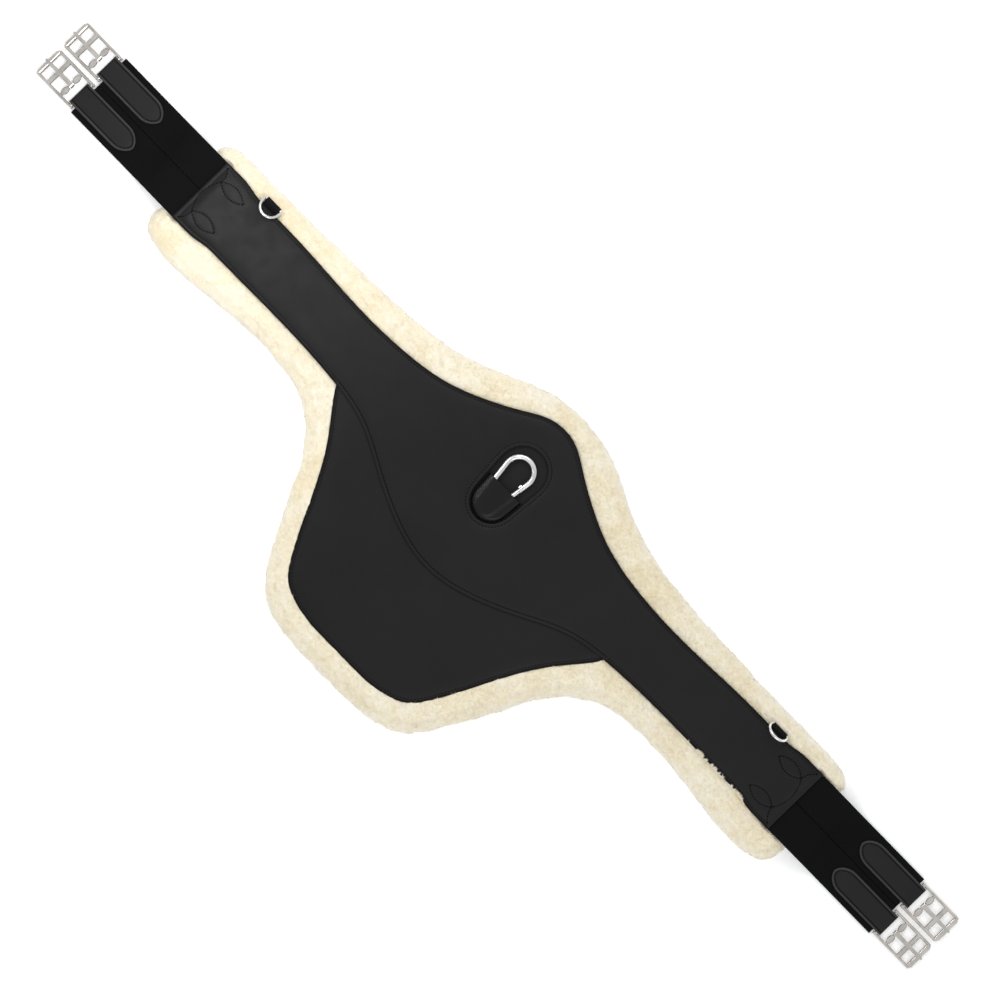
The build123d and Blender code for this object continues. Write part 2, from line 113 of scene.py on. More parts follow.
def leather(name, dark, light, rough, grain=1050.0, depth=0.00008, polish=0.16, taut=1.0):
    """Fine-grained leather: small pebbled cells, pores, soft patches of colour and polish. taut
    scales its roughness at the ends, where it is stretched over the elastics."""
    made, add, link, place = material(name, Specular_IOR_Level=polish)
    patches = add("TexNoise", {"Vector": place, "Scale": 11.0, "Detail": 5.0, "Roughness": 0.6})
    cells = add("TexVoronoi", {"Vector": place, "Scale": grain}, feature="DISTANCE_TO_EDGE")
    pores = add("TexNoise", {"Vector": place, "Scale": grain * 2.1, "Detail": 4.0})
    creases = add("TexNoise", {"Vector": place, "Scale": 60.0, "Detail": 6.0, "Distortion": 0.6})
    link(ramp(add, patches.outputs["Fac"], [(0.3, dark), (0.72, light)]), "Base Color")
    dull = ramp(add, creases.outputs["Fac"], [(0.3, rough - 0.06), (0.7, rough + 0.08)])
    out = add("Math", {0: add("SeparateXYZ", {"Vector": place}).outputs["X"]}, operation="ABSOLUTE")
    ends = add("MapRange", {"Value": out.outputs[0], "From Min": TAUT_FROM, "From Max": TAUT_TO,
                            "To Min": 1.0, "To Max": taut})
    link(combine(add, dull, ends.outputs["Result"], "MULTIPLY"), "Roughness")
    pebbles = combine(add, cells.outputs["Distance"], 3.0, "MULTIPLY")
    grainy = combine(add, pebbles, pores.outputs["Fac"])
    roughen(add, link, combine(add, grainy, creases.outputs["Fac"]), 0.45, depth)
    return made


def steel(name, dull, bright, rough=0.2, scuff=0.12):
    """Polished steel with fine scuffs and faint tarnish."""
    made, add, link, place = material(name, Metallic=1.0)
    cloud = add("TexNoise", {"Vector": place, "Scale": 90.0, "Detail": 5.0})
    scuffs = add("TexNoise", {"Vector": place, "Scale": 900.0, "Detail": 8.0, "Distortion": 1.5})
    link(ramp(add, cloud.outputs["Fac"], [(0.3, dull), (0.65, bright)]), "Base Color")
    link(ramp(add, scuffs.outputs["Fac"], [(0.35, rough - 0.06), (0.7, rough + 0.12)]), "Roughness")
    roughen(add, link, scuffs.outputs["Fac"], scuff, 0.0001)
    return made


WAVE_SCALE = math.pi / 10                   # a wave texture's scale for one band to the metre


def weave(name, dark, light, along, across, rough=0.85):
    """Woven tape: ribs along X and picks across, both in threads to the metre."""
    made, add, link, place = material(name, Specular_IOR_Level=0.05)
    ribs = add("TexWave", {"Vector": place, "Scale": along * WAVE_SCALE, "Distortion": 0.4,
                           "Detail": 1.0}, bands_direction="Y")
    picks = add("TexWave", {"Vector": place, "Scale": across * WAVE_SCALE, "Distortion": 0.6},
                bands_direction="X")
    lint = add("TexNoise", {"Vector": place, "Scale": 1400.0, "Detail": 3.0})
    threads = combine(add, ribs.outputs["Fac"], picks.outputs["Fac"], "MULTIPLY")
    fuzzy = combine(add, threads, lint.outputs["Fac"])
    link(ramp(add, fuzzy, [(0.35, dark), (1.0, light)]), "Base Color")
    link(ramp(add, lint.outputs["Fac"], [(0.3, rough - 0.08), (0.7, rough + 0.06)]), "Roughness")
    roughen(add, link, fuzzy, 0.6, 0.00025)
    return made


def wool(name, shade, light, tips):
    """Cream sheepskin in random warm and pale patches and curls, with painted light that makes its
    outward-facing sides paler, and a soft sheen.
    """
    made, add, link, place = material(name, Specular_IOR_Level=0.15, Sheen_Weight=0.12,
                                      Sheen_Roughness=0.6)
    patches = add("TexNoise", {"Vector": place, "Scale": 26.0, "Detail": 6.0, "Roughness": 0.65})
    curls = add("TexNoise", {"Vector": place, "Scale": 420.0, "Detail": 5.0, "Distortion": 1.2})
    tone = combine(add, combine(add, patches.outputs["Fac"], curls.outputs["Fac"]), 0.5, "MULTIPLY")
    # Painted light: the more a face turns sideways, the more it is mixed towards a paler colour
    facing = add("SeparateXYZ", {"Vector": add("TexCoord").outputs["Normal"]})
    side = add("MapRange", {"Value": facing.outputs["Z"], "From Min": 0.85, "From Max": 0.15,
                            "To Max": 0.75})
    top = ramp(add, tone, [(0.40, shade), (0.50, light), (0.61, tips)])
    both = add("MixRGB", {"Fac": side.outputs["Result"], "Color1": top, "Color2": (*PAINTED_SIDE_LIGHT, 1)})
    link(both.outputs["Color"], "Base Color")
    link(ramp(add, curls.outputs["Fac"], [(0.3, 0.85), (0.7, 0.98)]), "Roughness")
    roughen(add, link, curls.outputs["Fac"], 0.5, 0.0008)
    return made


PAINTED_SIDE_LIGHT = (0.90, 0.87, 0.80)                   # painted light: the paler colour mixed onto the wool's outward-facing sides
BLACK = (0.0070, 0.0063, 0.0066)
SOOT = (0.0098, 0.0088, 0.0092)
panel_leather = leather("panel_leather", BLACK, SOOT, 0.46, polish=0.18, taut=0.80)
# Edge paint, also used as painted shade in the stitch grooves of the strap's seam over the guard and of the
# chapes
edge_paint_and_groove_shade = leather("edge_paint_and_groove_shade", (0.0050, 0.0040, 0.0036), (0.0080, 0.0066, 0.0060), 0.5, 1100.0,
                       polish=0.1)
tab_leather = leather("tab_leather", (0.0085, 0.0079, 0.0082), (0.0125, 0.0117, 0.012), 0.42, 1300.0,
                      depth=0.00005, polish=0.18)
# Painted highlight: lighter, glossier leather on the chapes' raised beads
bead_painted_highlight = leather("bead_painted_highlight", (0.019, 0.018, 0.018), (0.032, 0.030, 0.030), 0.36, 1300.0,
                       depth=0.00005, polish=0.30)
pouch_leather = leather("pouch_leather", (0.0030, 0.0027, 0.0029), (0.0055, 0.0050, 0.0052), 0.28, 1300.0,
                        depth=0.00004, polish=0.22)
lining_leather = leather("lining_leather", (0.011, 0.0085, 0.007), (0.02, 0.0155, 0.0125), 0.6)
bright_steel = steel("bright_steel", (0.66, 0.655, 0.64), (0.83, 0.825, 0.81))
buckle_steel = steel("buckle_steel", (0.50, 0.462, 0.425), (0.70, 0.662, 0.62), 0.14, 0.035)
elastic_cloth = weave("elastic_cloth", (0.0030, 0.0030, 0.0031), (0.0074, 0.0074, 0.0078), 700, 1500)
web_cloth = weave("web_cloth", (0.005, 0.0045, 0.0045), (0.014, 0.013, 0.013), 900, 900)
thread = weave("thread", (0.0015, 0.0015, 0.0015), (0.0050, 0.0047, 0.0050), 3000, 3000, 0.8)
fleece_wool = wool("fleece_wool", (0.80, 0.70, 0.49), (0.85, 0.775, 0.60), (0.88, 0.83, 0.71))
backing_cloth = weave("backing_cloth", (0.5, 0.45, 0.36), (0.72, 0.67, 0.56), 900, 900)
# The foam is hidden, and its open cells scatter light much as wool does
foam_rubber = wool("foam_rubber", (0.45, 0.44, 0.38), (0.6, 0.59, 0.5), (0.66, 0.65, 0.56))


# ---- Outlines, read from the CAD pieces, in millimetres ----
def outlines(node, height):
    """The closed outlines of a node's level, upward face, longest first, material on their left."""
    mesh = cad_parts[node].data
    where = [tuple(round(c / MM, 3) for c in v.co) for v in mesh.vertices]
    runs = {}
    for face in mesh.polygons:
        corners = [where[i] for i in face.vertices]
        if face.normal.z > 0.9 and all(abs(c[2] - height) < 0.02 for c in corners):
            for a, b in zip(corners, corners[1:] + corners[:1]):
                runs[(a[:2], b[:2])] = True
    after = {a: b for a, b in runs if (b, a) not in runs}
    found = []
    while after:
        start = next(iter(after))
        loop, point = [], start
        while point in after:
            loop.append(point)
            point = after.pop(point)
        found.append(np.array(loop))
    return sorted(found, key=lambda loop: -np.linalg.norm(np.roll(loop, -1, 0) - loop, axis=1).sum())


def top_of(node):
    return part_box(node)[1].z / MM


def unit(vectors):
    return vectors / np.maximum(np.linalg.norm(vectors, axis=-1, keepdims=True), 1e-9)


def distances(run):
    """How far along a run of points each of them is."""
    return np.r_[0, np.cumsum(np.linalg.norm(np.diff(run, axis=0), axis=1))]


def points_at(run, at):
    """The points at these distances along a run."""
    return np.column_stack([np.interp(at, distances(run), run[:, k]) for k in (0, 1)])


def even(loop, step, corner=35.0, smooth=8):
    """A closed loop with even steps, rounded a little, its sharp corners kept."""
    into, out = unit(loop - np.roll(loop, 1, 0)), unit(np.roll(loop, -1, 0) - loop)
    turn = np.degrees(np.arccos(np.clip((into * out).sum(1), -1, 1)))
    sharp = list(np.flatnonzero(turn > corner)) or [0]
    points, fixed = [], []
    for a, b in zip(sharp, sharp[1:] + [sharp[0] + len(loop)]):
        run = loop[np.arange(a, b + 1) % len(loop)]
        length = distances(run)[-1]
        count = max(2, round(length / step))
        points.append(points_at(run, np.linspace(0, length, count + 1)[:-1]))
        fixed += [len(sharp) > 1 or turn.max() > corner] + [False] * (count - 1)
    points, fixed = np.vstack(points), np.array(fixed)
    for _ in range(smooth):
        soft = (np.roll(points, 1, 0) + 2 * points + np.roll(points, -1, 0)) / 4
        points = np.where(fixed[:, None], points, soft)
    return points


def inset(loop, distance):
    """The loop moved to its left by a distance. Points that would cross over each other beside a
    sharp corner gather in the moved corner instead."""
    into, out = unit(loop - np.roll(loop, 1, 0)), unit(np.roll(loop, -1, 0) - loop)
    left_in, left_out = (np.column_stack([-e[:, 1], e[:, 0]]) for e in (into, out))
    middle = unit(left_in + left_out)
    reach = 1 / np.maximum((middle * left_in).sum(1), 0.5)
    moved = loop + middle * (reach * distance)[:, None]
    sharp = (into * out).sum(1) < 0.8
    if distance > 0.5 and sharp.any():
        crossed = nearest(moved, loop) < distance * 0.985
        corners = moved[sharp]
        apart = np.linalg.norm(moved[:, None] - corners[None], axis=2)
        crossed &= apart.min(1) < 2 * distance
        moved[crossed] = corners[apart.argmin(1)][crossed]
    return moved


def inside(points, loops):
    """Whether each point is inside an odd number of the loops."""
    hits = np.zeros(len(points), int)
    for loop in loops:
        for a, b in zip(loop, np.roll(loop, -1, 0)):
            crosses = (a[1] > points[:, 1]) != (b[1] > points[:, 1])
            if a[1] != b[1]:
                x = a[0] + (points[:, 1] - a[1]) * (b[0] - a[0]) / (b[1] - a[1])
                hits += crosses & (points[:, 0] < x)
    return hits % 2 == 1


def closest(points, targets):
    """Each point's distance to the nearest target, and which target that is."""
    points, targets = np.atleast_2d(points), np.atleast_2d(targets)
    found, which = np.empty(len(points)), np.empty(len(points), int)
    for start in range(0, len(points), 2000):
        part = slice(start, start + 2000)
        squares = ((points[part, None, :] - targets[None, :, :]) ** 2).sum(2)
        found[part], which[part] = np.sqrt(squares.min(1)), squares.argmin(1)
    return found, which


def nearest(points, targets):
    return closest(points, targets)[0]


def ease(value, low, high):
    """0 up to low, 1 from high on, smooth between."""
    t = np.clip((value - low) / (high - low), 0, 1)
    return t * t * (3 - 2 * t)


def ripple(points, size, seed):
    """Smooth noise from -1 to 1 at each (x, y) or (x, y, z) point, with bumps about that size."""
    return np.array([noise.noise(Vector((*p, 0.0)[:3]) / size + Vector((seed, seed, seed)))
                     for p in points])


# ---- Meshes ----
def piece(name, points, faces, finish, body="root", replaces=()):
    """A smooth mesh, points in millimetres, that takes its finish from a slot and rides on a body."""
    mesh = bpy.data.meshes.new(name)
    mesh.from_pydata((np.asarray(points) * MM).tolist(), [], [list(map(int, f)) for f in faces])
    mesh.validate()
    mesh.polygons.foreach_set("use_smooth", [True] * len(mesh.polygons))
    made = bpy.data.objects.new(name, mesh)
    bpy.context.scene.collection.objects.link(made)
    mesh.materials.append(finish)
    if body:
        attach(made, body)
    if replaces:
        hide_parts(*replaces)
    return made


def rings_to_faces(starts, count):
    """Quads between successive rings of count points, whose first points have these indices."""
    return [(a + i, a + (i + 1) % count, b + (i + 1) % count, b + i)
            for a, b in zip(starts, starts[1:]) for i in range(count)]


def shells(rows, columns, pairs):
    """Faces of closed shells. Each is a pair of layers, of rows by columns points, joined all
    round; the points are numbered layer by layer and row by row."""
    def at(layer, n, k):
        return (layer * rows + n) * columns + k

    faces = [(at(layer, n, k), at(layer, n, k + 1), at(layer, n + 1, k + 1), at(layer, n + 1, k))
             for layer in range(2 * pairs) for n in range(rows - 1) for k in range(columns - 1)]
    for a in range(0, 2 * pairs, 2):
        b = a + 1
        for k in (0, columns - 1):
            faces += [(at(a, n, k), at(a, n + 1, k), at(b, n + 1, k), at(b, n, k))
                      for n in range(rows - 1)]
        for n in (0, rows - 1):
            faces += [(at(a, n, k), at(a, n, k + 1), at(b, n, k + 1), at(b, n, k))
                      for k in range(columns - 1)]
    return faces


def filled(loops, first, extra):
    """Triangles that fill between the loops, whose points are numbered on from first, through
    the extra points, numbered after them."""
    edges, start = [], 0
    for loop in loops:
        edges += [(start + i, start + (i + 1) % len(loop)) for i in range(len(loop))]
        start += len(loop)
    got = delaunay_2d_cdt([Vector(p) for p in (*np.vstack(loops), *extra)], edges, [], 0, 1e-6)
    origin = [o[0] if o else None for o in got[3]]
    faces = [f for f in got[2] if all(origin[i] is not None for i in f)]
    centres = np.array([np.mean([got[0][i] for i in f], axis=0) for f in faces])
    keep = inside(centres, loops)
    return [tuple(first + origin[i] for i in f) for f, ok in zip(faces, keep) if ok]


# ---- The padded leather panels ----
EDGE_STITCH = 3.9                           # the stitch line's distance from the edge
EDGE_DARK = 2.7                             # the width of its painted edge
GROOVE_DARK = 0.62                          # half the width of the painted shade in the groove under the stitches
FOOT, RECESS_FLOOR = 21.6, 24.05
GUARD_TOP = top_of("guard_panel") - 0.1
STRAP_TOP = top_of("main_panel") + 0.2
SHEET = 3.0                                 # from the crown down to a panel's underside
LOOP_STEP = 2.6                             # between the points round a panel
# (distance from the edge, height below the crown) up over a sewn edge: side, rounded corner,
# stitch groove, and the swell over the padding
EDGE = [(0.0, 3.0), (0.0, 2.0), (0.35, 1.4), (1.0, 1.12), (2.6, 1.02), (3.3, 1.12), (3.9, 1.5),
        (4.5, 1.12), (5.4, 0.9), (8.0, 0.5), (12.0, 0.15)]
GROOVE = 6                                  # which of them is the groove
EDGE_IN = EDGE[-1][0]
UNDER_RINGS = 5                             # the rings below them, on the hidden underside
UNDER_SPARSE = 9                            # the underside takes one in so many of the top's points


# A sewn rim: its loop, and at each point 1 where the edge lies on leather or elastic with nothing
# below to cover (lift), has no stitches (plain), has its full width of edge paint (painted) and has
# painted shade in its stitch groove (dyed). The side of a hole's rim goes down to the recess floor.
Rim = namedtuple("Rim", "loop lift plain painted dyed hole")


def rim_rings(rim, top):
    """The rings of a rim from its hidden underside up to the last ring of EDGE."""
    def all_round(z):
        return np.full(len(rim.loop), z)

    under, low = top - SHEET, FOOT + rim.lift * (top - SHEET - 0.1 - FOOT)
    if rim.hole:
        rings = [(EDGE_IN, all_round(under)), (1.4, all_round(under - 0.05)),
                 (1.3, all_round(RECESS_FLOOR)), (-0.15, all_round(RECESS_FLOOR)),
                 (-0.1, all_round(under - 0.4))]
    else:
        rings = [(EDGE_IN, all_round(under)), (6.1, all_round(under - 0.02)),
                 (6.0, low + 0.02 * (1 - rim.lift)), (0.9, low),
                 (0.7, under - 0.05 - 0.03 * (1 - rim.lift))]
    rings += [(d, all_round(top - drop)) for d, drop in EDGE]
    d, groove = rings[UNDER_RINGS + GROOVE]
    rings[UNDER_RINGS + GROOVE] = (d, groove + rim.plain * (EDGE[GROOVE][1] - EDGE[GROOVE + 1][1]))
    return rings


def crown_drop(distance):
    """How far below its crown a panel is, from the last ring of EDGE inwards."""
    return EDGE[-1][1] * np.exp(-(distance - EDGE_IN) / 6)


def padded_panel(name, rims, top, extra, surface, replaces):
    """A closed padded panel with its rims, a crowned top and a flat underside.
    surface(points, distance) gives the top's height added to the crown."""
    points, faces, tops, unders, count = [], [], [], [], 0
    for rim in rims:
        starts = []
        for n, (distance, height) in enumerate(rim_rings(rim, top)):
            ring = inset(rim.loop, distance)
            if n > UNDER_RINGS + 1:         # past the side, which stays upright
                height = height + surface(ring, np.full(len(ring), distance))
            points.append(np.column_stack([ring, height]))
            starts.append(count)
            count += len(ring)
        faces += rings_to_faces(starts, len(rim.loop))
        tops.append(points[-1])
        unders.append(points[-len(starts)])
    for rings, wide, up in ((tops, extra, True), (unders, extra[::UNDER_SPARSE], False)):
        edges = [ring[:, :2] for ring in rings]
        wide = wide[inside(wide, edges)]
        wide = wide[nearest(wide, np.vstack(edges)) > 2.0]
        faces += filled(edges, count, wide)
        flat = np.vstack([*edges, wide])
        if up:
            distance = EDGE_IN + nearest(flat, np.vstack(edges))
            height = top - crown_drop(distance) + surface(flat, distance)
        else:
            height = np.full(len(flat), top - SHEET)
        points.append(np.column_stack([flat, height]))
        count += len(flat)
    made = piece(name, np.vstack(points), faces, panel_leather,
                 replaces=replaces)
    weld(made)
    made.data.materials.append(edge_paint_and_groove_shade)
    centres = np.array([f.center[:2] for f in made.data.polygons]) / MM
    away, which = closest(centres, np.vstack([rim.loop for rim in rims]))
    painted = np.concatenate([rim.painted for rim in rims])[which]
    dyed = np.concatenate([rim.dyed for rim in rims])[which]
    # Edge paint along the rims, and painted shade in the stitch groove where a rim has groove shade
    edged = (away < EDGE_DARK * painted) | ((np.abs(away - EDGE_STITCH) < GROOVE_DARK) & (dyed > 0.5))
    made.data.polygons.foreach_set("material_index", edged.astype(int))
    return made


def weld(made, distance=0.002):
    """Joins coincident points of a piece and makes its faces point outwards."""
    mesh = bmesh.new()
    mesh.from_mesh(made.data)
    bmesh.ops.remove_doubles(mesh, verts=mesh.verts, dist=distance * MM)
    bmesh.ops.dissolve_degenerate(mesh, edges=mesh.edges, dist=0.001 * MM)
    bmesh.ops.recalc_face_normals(mesh, faces=mesh.faces)
    mesh.to_mesh(made.data)
    mesh.free()


GRID_ROW = 0.87                             # row spacing that makes a staggered grid's triangles even


def grid(low, high, step):
    """Points of a staggered grid over a box."""
    x = np.arange(low[0], high[0], step)
    y = np.arange(low[1], high[1], step * GRID_ROW)
    xs, ys = np.meshgrid(x, y)
    xs = xs + (np.arange(len(y)) % 2)[:, None] * step / 2
    return np.column_stack([xs.ravel(), ys.ravel()])


strap_loop, recess_loop = (even(loop, LOOP_STEP)
                           for loop in outlines("main_panel", top_of("main_panel"))[:2])
guard_loop = even(outlines("guard_panel", top_of("guard_panel"))[0], LOOP_STEP)
STRAP_END = strap_loop[:, 0].max()
STRAP_HALF = strap_loop[strap_loop[:, 0] > STRAP_END - 0.5, 1].max()        # at its ends
TAIL = 384.0                                # the elastics' tails swell the leather from here out

# The sewn figure at each end: two petals, the arc between them and their tails to the corners
PETAL_Y, PETAL_LONG, PETAL_WIDE, ARC_RISE, TAIL_BOW = 20.5, 32.0, 6.5, 6.5, 2.2
PETAL_END = {"left": 417.7, "right": 414.5}  # the left one is sewn a little nearer the end


def arc_points(a, b, bulge, step=0.8):
    """Points along a shallow arc from a to b that bulges to the left of its run."""
    a, b = np.array(a, float), np.array(b, float)
    t = np.linspace(0, 1, max(3, int(np.linalg.norm(b - a) / step)))[:, None]
    left = unit(np.array([[-(b - a)[1], (b - a)[0]]]))
    return a + (b - a) * t + left * bulge * 4 * t * (1 - t)


def end_figure(side):
    """The stitch lines at one end, each a run of (x, y) points."""
    runs, end = [], PETAL_END[side]
    for y in (PETAL_Y, -PETAL_Y):
        runs += [arc_points((end, y), (end - PETAL_LONG, y), bulge) for bulge in (PETAL_WIDE, -PETAL_WIDE)]
        corner = (STRAP_END - EDGE_STITCH, math.copysign(STRAP_HALF - EDGE_STITCH, y))
        runs.append(arc_points((end, y), corner, math.copysign(TAIL_BOW, y)))
    runs.append(arc_points((end, PETAL_Y), (end, -PETAL_Y), ARC_RISE))
    return [run * (SIDES[side], 1) for run in runs]


figures = {side: end_figure(side) for side in SIDES}
figure_points = np.vstack([run for runs in figures.values() for run in runs])


def strap_surface(points, distance):
    """The strap's top above its crown: slow waves, the swell over the elastics' tails, and the
    grooves under the sewn figures."""
    wave = 0.28 * ripple(points, 74.0, 3.0) + 0.10 * ripple(points, 21.0, 9.0)
    swell = 0.55 * ease(np.abs(points[:, 0]), TAIL - 9, TAIL + 5) * ease(distance, 2.0, 9.0)
    height = wave * ease(distance, 3.0, 16.0) + swell
    near = np.abs(points[:, 0]) > TAIL - 12
    groove = np.zeros(len(points))
    if near.any():
        groove[near] = 0.45 * np.exp(-(nearest(points[near], figure_points) / 1.3) ** 2)
    return height - groove * ease(distance, 4.2, 6.0)


def guard_surface(points, distance):
    """The guard's top: slow waves where it is free, flat where it lies under the strap."""
    free = ~inside(points, [strap_loop]) * ease(nearest(points, strap_loop), 1.0, 22.0)
    wave = 0.45 + 0.4 * ripple(points, 66.0, 5.0) + 0.12 * ripple(points, 24.0, 2.0)
    return wave * free * ease(distance, 4.0, 18.0)


def softened(mask, passes=6):
    """A 0 or 1 mask round a loop, eased at its steps."""
    value = mask.astype(float)
    for _ in range(passes):
        value = (np.roll(value, 1) + 2 * value + np.roll(value, -1)) / 4
    return value


def plain_rim(loop, painted=0.0, hole=False):
    """A rim that is sewn and coloured alike all round."""
    none = np.zeros(len(loop))
    return Rim(loop, none, none, none + painted, none, hole)


PANEL_GRID, TAIL_GRID = 6.5, 1.25           # the inner points' spacing, fine where the figures are
TAIL_GRID_FROM = TAIL - 6
over_guard = inside(strap_loop, [inset(guard_loop, 1.0)])
strap_lift = softened(over_guard | (np.abs(strap_loop[:, 0]) > TAIL))
strap_ends = softened(np.abs(strap_loop[:, 0]) > STRAP_END - 1.5, 2)
sparse = grid(strap_loop.min(0), strap_loop.max(0), PANEL_GRID)
sparse = sparse[np.abs(sparse[:, 0]) < TAIL_GRID_FROM]
dense = grid((TAIL_GRID_FROM, strap_loop[:, 1].min()), strap_loop.max(0), TAIL_GRID)
# Where the strap lies over the guard, its stitch groove takes painted shade
seam = softened(over_guard)
strap_painted = 1 - 0.6 * seam - 0.95 * strap_ends
strap_rim = Rim(strap_loop, strap_lift, strap_ends, strap_painted, seam, False)
main_leather = padded_panel(
    "main_leather", [strap_rim, plain_rim(recess_loop, hole=True)], STRAP_TOP,
    np.vstack([sparse, dense, dense * (-1, 1)]), strap_surface, ["main_panel"])
guard_leather = padded_panel(
    "guard_leather", [plain_rim(guard_loop, painted=1)], GUARD_TOP,
    grid(guard_loop.min(0), guard_loop.max(0), PANEL_GRID), guard_surface, ["guard_panel"])


# ---- Stitching ----
def stitched(name, runs, height, body="root", pitch=3.5, length=2.5, width=0.95, tilt=9.0):
    """Thread stitches along runs of (x, y) points, each a small spindle a little across the line.
    height(points) gives the surface they lie on; a closed run repeats its first point."""
    sides, rows = 6, ((-0.5, 0.35), (-0.28, 0.92), (0.0, 1.0), (0.28, 0.92), (0.5, 0.35))
    points, faces = [], []
    for run in runs:
        total = distances(run)[-1]
        count = max(1, round(total / pitch))
        at = (np.arange(count) + 0.5) * total / count
        centres = points_at(run, at)
        heading = unit(points_at(run, at + 0.5) - points_at(run, at - 0.5))
        turn = math.radians(tilt)
        heading = np.column_stack([heading[:, 0] * math.cos(turn) - heading[:, 1] * math.sin(turn),
                                   heading[:, 0] * math.sin(turn) + heading[:, 1] * math.cos(turn)])
        for (x, y), (dx, dy), z in zip(centres, heading, height(centres)):
            first = len(points)
            for s, fat in rows:
                sink = 0.45 * (2 * s) ** 2 * width
                for k in range(sides):
                    a = 2 * math.pi * k / sides
                    across = width / 2 * fat * math.cos(a)
                    up = width / 2 * fat * math.sin(a) - sink
                    points.append((x + dx * s * length - dy * across,
                                   y + dy * s * length + dx * across, z + up))
            faces += rings_to_faces([first + sides * r for r in range(len(rows))], sides)
            faces.append(tuple(first + k for k in reversed(range(sides))))
            faces.append(tuple(first + sides * (len(rows) - 1) + k for k in range(sides)))
    return piece(name, points, faces, thread, body)


def closed(loop):
    return np.vstack([loop, loop[:1]])


def strap_height(points):
    """The strap's top at each point, a little above the bottom of a stitch groove."""
    away = nearest(points, strap_loop)
    drop = np.where(away < EDGE_IN, np.interp(away, *np.array(EDGE[1:]).T), crown_drop(away))
    return STRAP_TOP - drop + strap_surface(points, away) + 0.16


def runs_of(line, shown):
    """The stretches of a closed line whose points are shown."""
    start = int(np.flatnonzero(~shown)[0])
    line, shown = np.roll(line, -start, 0), np.roll(shown, -start)
    steps = np.flatnonzero(np.diff(np.r_[0, shown.astype(int), 0]))
    return [line[a:b] for a, b in zip(steps[::2], steps[1::2]) if b - a > 3]


def level(z):
    """A surface at one height."""
    return lambda points: np.full(len(points), z)


sewn = EDGE[GROOVE][1] - 0.12
edge_line = inset(strap_loop, EDGE_STITCH)
# The strap has no stitches straight across its two ends
not_across = (np.abs(edge_line[:, 0]) < STRAP_END - EDGE_STITCH - 0.1) \
    | (np.abs(edge_line[:, 1]) > STRAP_HALF - EDGE_STITCH - 0.1)
stitched("strap_stitching", runs_of(edge_line, not_across), level(STRAP_TOP - sewn))
stitched("recess_stitching", [closed(inset(recess_loop, EDGE_STITCH))], level(STRAP_TOP - sewn),
         pitch=3.3, length=2.2, width=1.25)
guard_line = inset(guard_loop, EDGE_STITCH)
clear_of_strap = ~inside(guard_line, [inset(strap_loop, -1.5)])
stitched("guard_stitching", runs_of(guard_line, clear_of_strap), level(GUARD_TOP - sewn))
for side, runs in figures.items():
    stitched(f"end_stitching_{side}", runs, strap_height, pitch=3.0, length=2.5, width=1.3)


# ---- The fleece ----
PILE_SIDE = [(4.0, 0.5), (2.0, 0.9), (0.7, 2.4), (0.1, 5.0), (0.0, 8.0), (0.3, 11.0), (1.0, 13.6),
             (2.3, 16.2), (4.2, 18.2), (6.5, 19.7)]   # (inset, height) up round the outer edge
PILE_HIDDEN = 12.0                          # how far it runs in under the leather
PILE_UNDER = 17.9                           # its height there
PILE_EDGE, PILE_CROWN = 24.2, 23.6
PILE_PRESSED, PILE_RING = 20.2, 22.4        # its height under the elastics and the side rings
PILE_LOWEST = 0.05                          # just clear of what the girth lies on
ELASTICS_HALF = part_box("elastic_right_front")[1].y / MM      # half the width of the pair
fleece_loop = even(outlines("fleece_pad", top_of("fleece_pad"))[0], 2.0, smooth=20)
panel_loop = even(outlines("lining_panel", top_of("lining_panel"))[0], 2.0)
hidden_loop = inset(panel_loop, PILE_HIDDEN)


def wool_height(points):
    """How far the wool stands out of its smooth shape: locks, curls and crimps, in millimetres."""
    return (1.3 * ripple(points, 17.0, 1.0) + 0.95 * ripple(points, 6.5, 4.0)
            + 0.5 * ripple(points, 2.9, 8.0))


def under_elastic(points):
    """1 where the elastics press on the wool, easing to 0 beside them."""
    across = 1 - ease(np.abs(points[:, 1]), ELASTICS_HALF, ELASTICS_HALF + 3.5)
    return across * ease(np.abs(points[:, 0]), STRAP_END - 9, STRAP_END - 4)


def near_ring(points):
    """1 where a side ring lies over the wool, easing to 0 around it."""
    found = np.zeros(len(points))
    for side in SIDES:
        low, high = (np.array(corner)[:2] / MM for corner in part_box(f"dee_ring_{side}"))
        away = (np.abs(points[:, :2] - (low + high) / 2) - (high - low) / 2).max(1)
        found = np.maximum(found, 1 - ease(away, 0.5, 4.5))
    return found


def pile(points):
    """The smooth top of the fleece between its rounded edge and the leather."""
    out = nearest(points, fleece_loop)
    inn = nearest(points, panel_loop) * np.where(inside(points, [panel_loop]), -1, 1)
    crown = PILE_SIDE[-1][1] + (PILE_CROWN - PILE_SIDE[-1][1]) * ease(out, 6.5, 14.0)
    height = PILE_EDGE + (crown - PILE_EDGE) * ease(inn, 0.0, 6.0)
    height = height - (PILE_EDGE - PILE_UNDER) * ease(-inn, 0.5, 3.0)
    height = height - np.maximum(height - PILE_PRESSED, 0) * under_elastic(points)
    return height - np.maximum(height - PILE_RING, 0) * near_ring(points)


points, starts, count = [], [], 0
for distance, height in PILE_SIDE:
    points.append(np.column_stack([inset(fleece_loop, distance), np.full(len(fleece_loop), height)]))
    starts.append(count)
    count += len(fleece_loop)
faces = rings_to_faces(starts, len(fleece_loop))
fleece_box = fleece_loop.min(0), fleece_loop.max(0)
shoulder, sole = points[-1][:, :2], points[0][:, :2]
band = grid(*fleece_box, 1.7)
band = band[inside(band, [shoulder]) & ~inside(band, [inset(panel_loop, 3.5)])]
band = band[nearest(band, shoulder) > 1.5]
under = grid(*fleece_box, 3.0)
under = under[inside(under, [sole])]
under = under[nearest(under, sole) > 1.6]


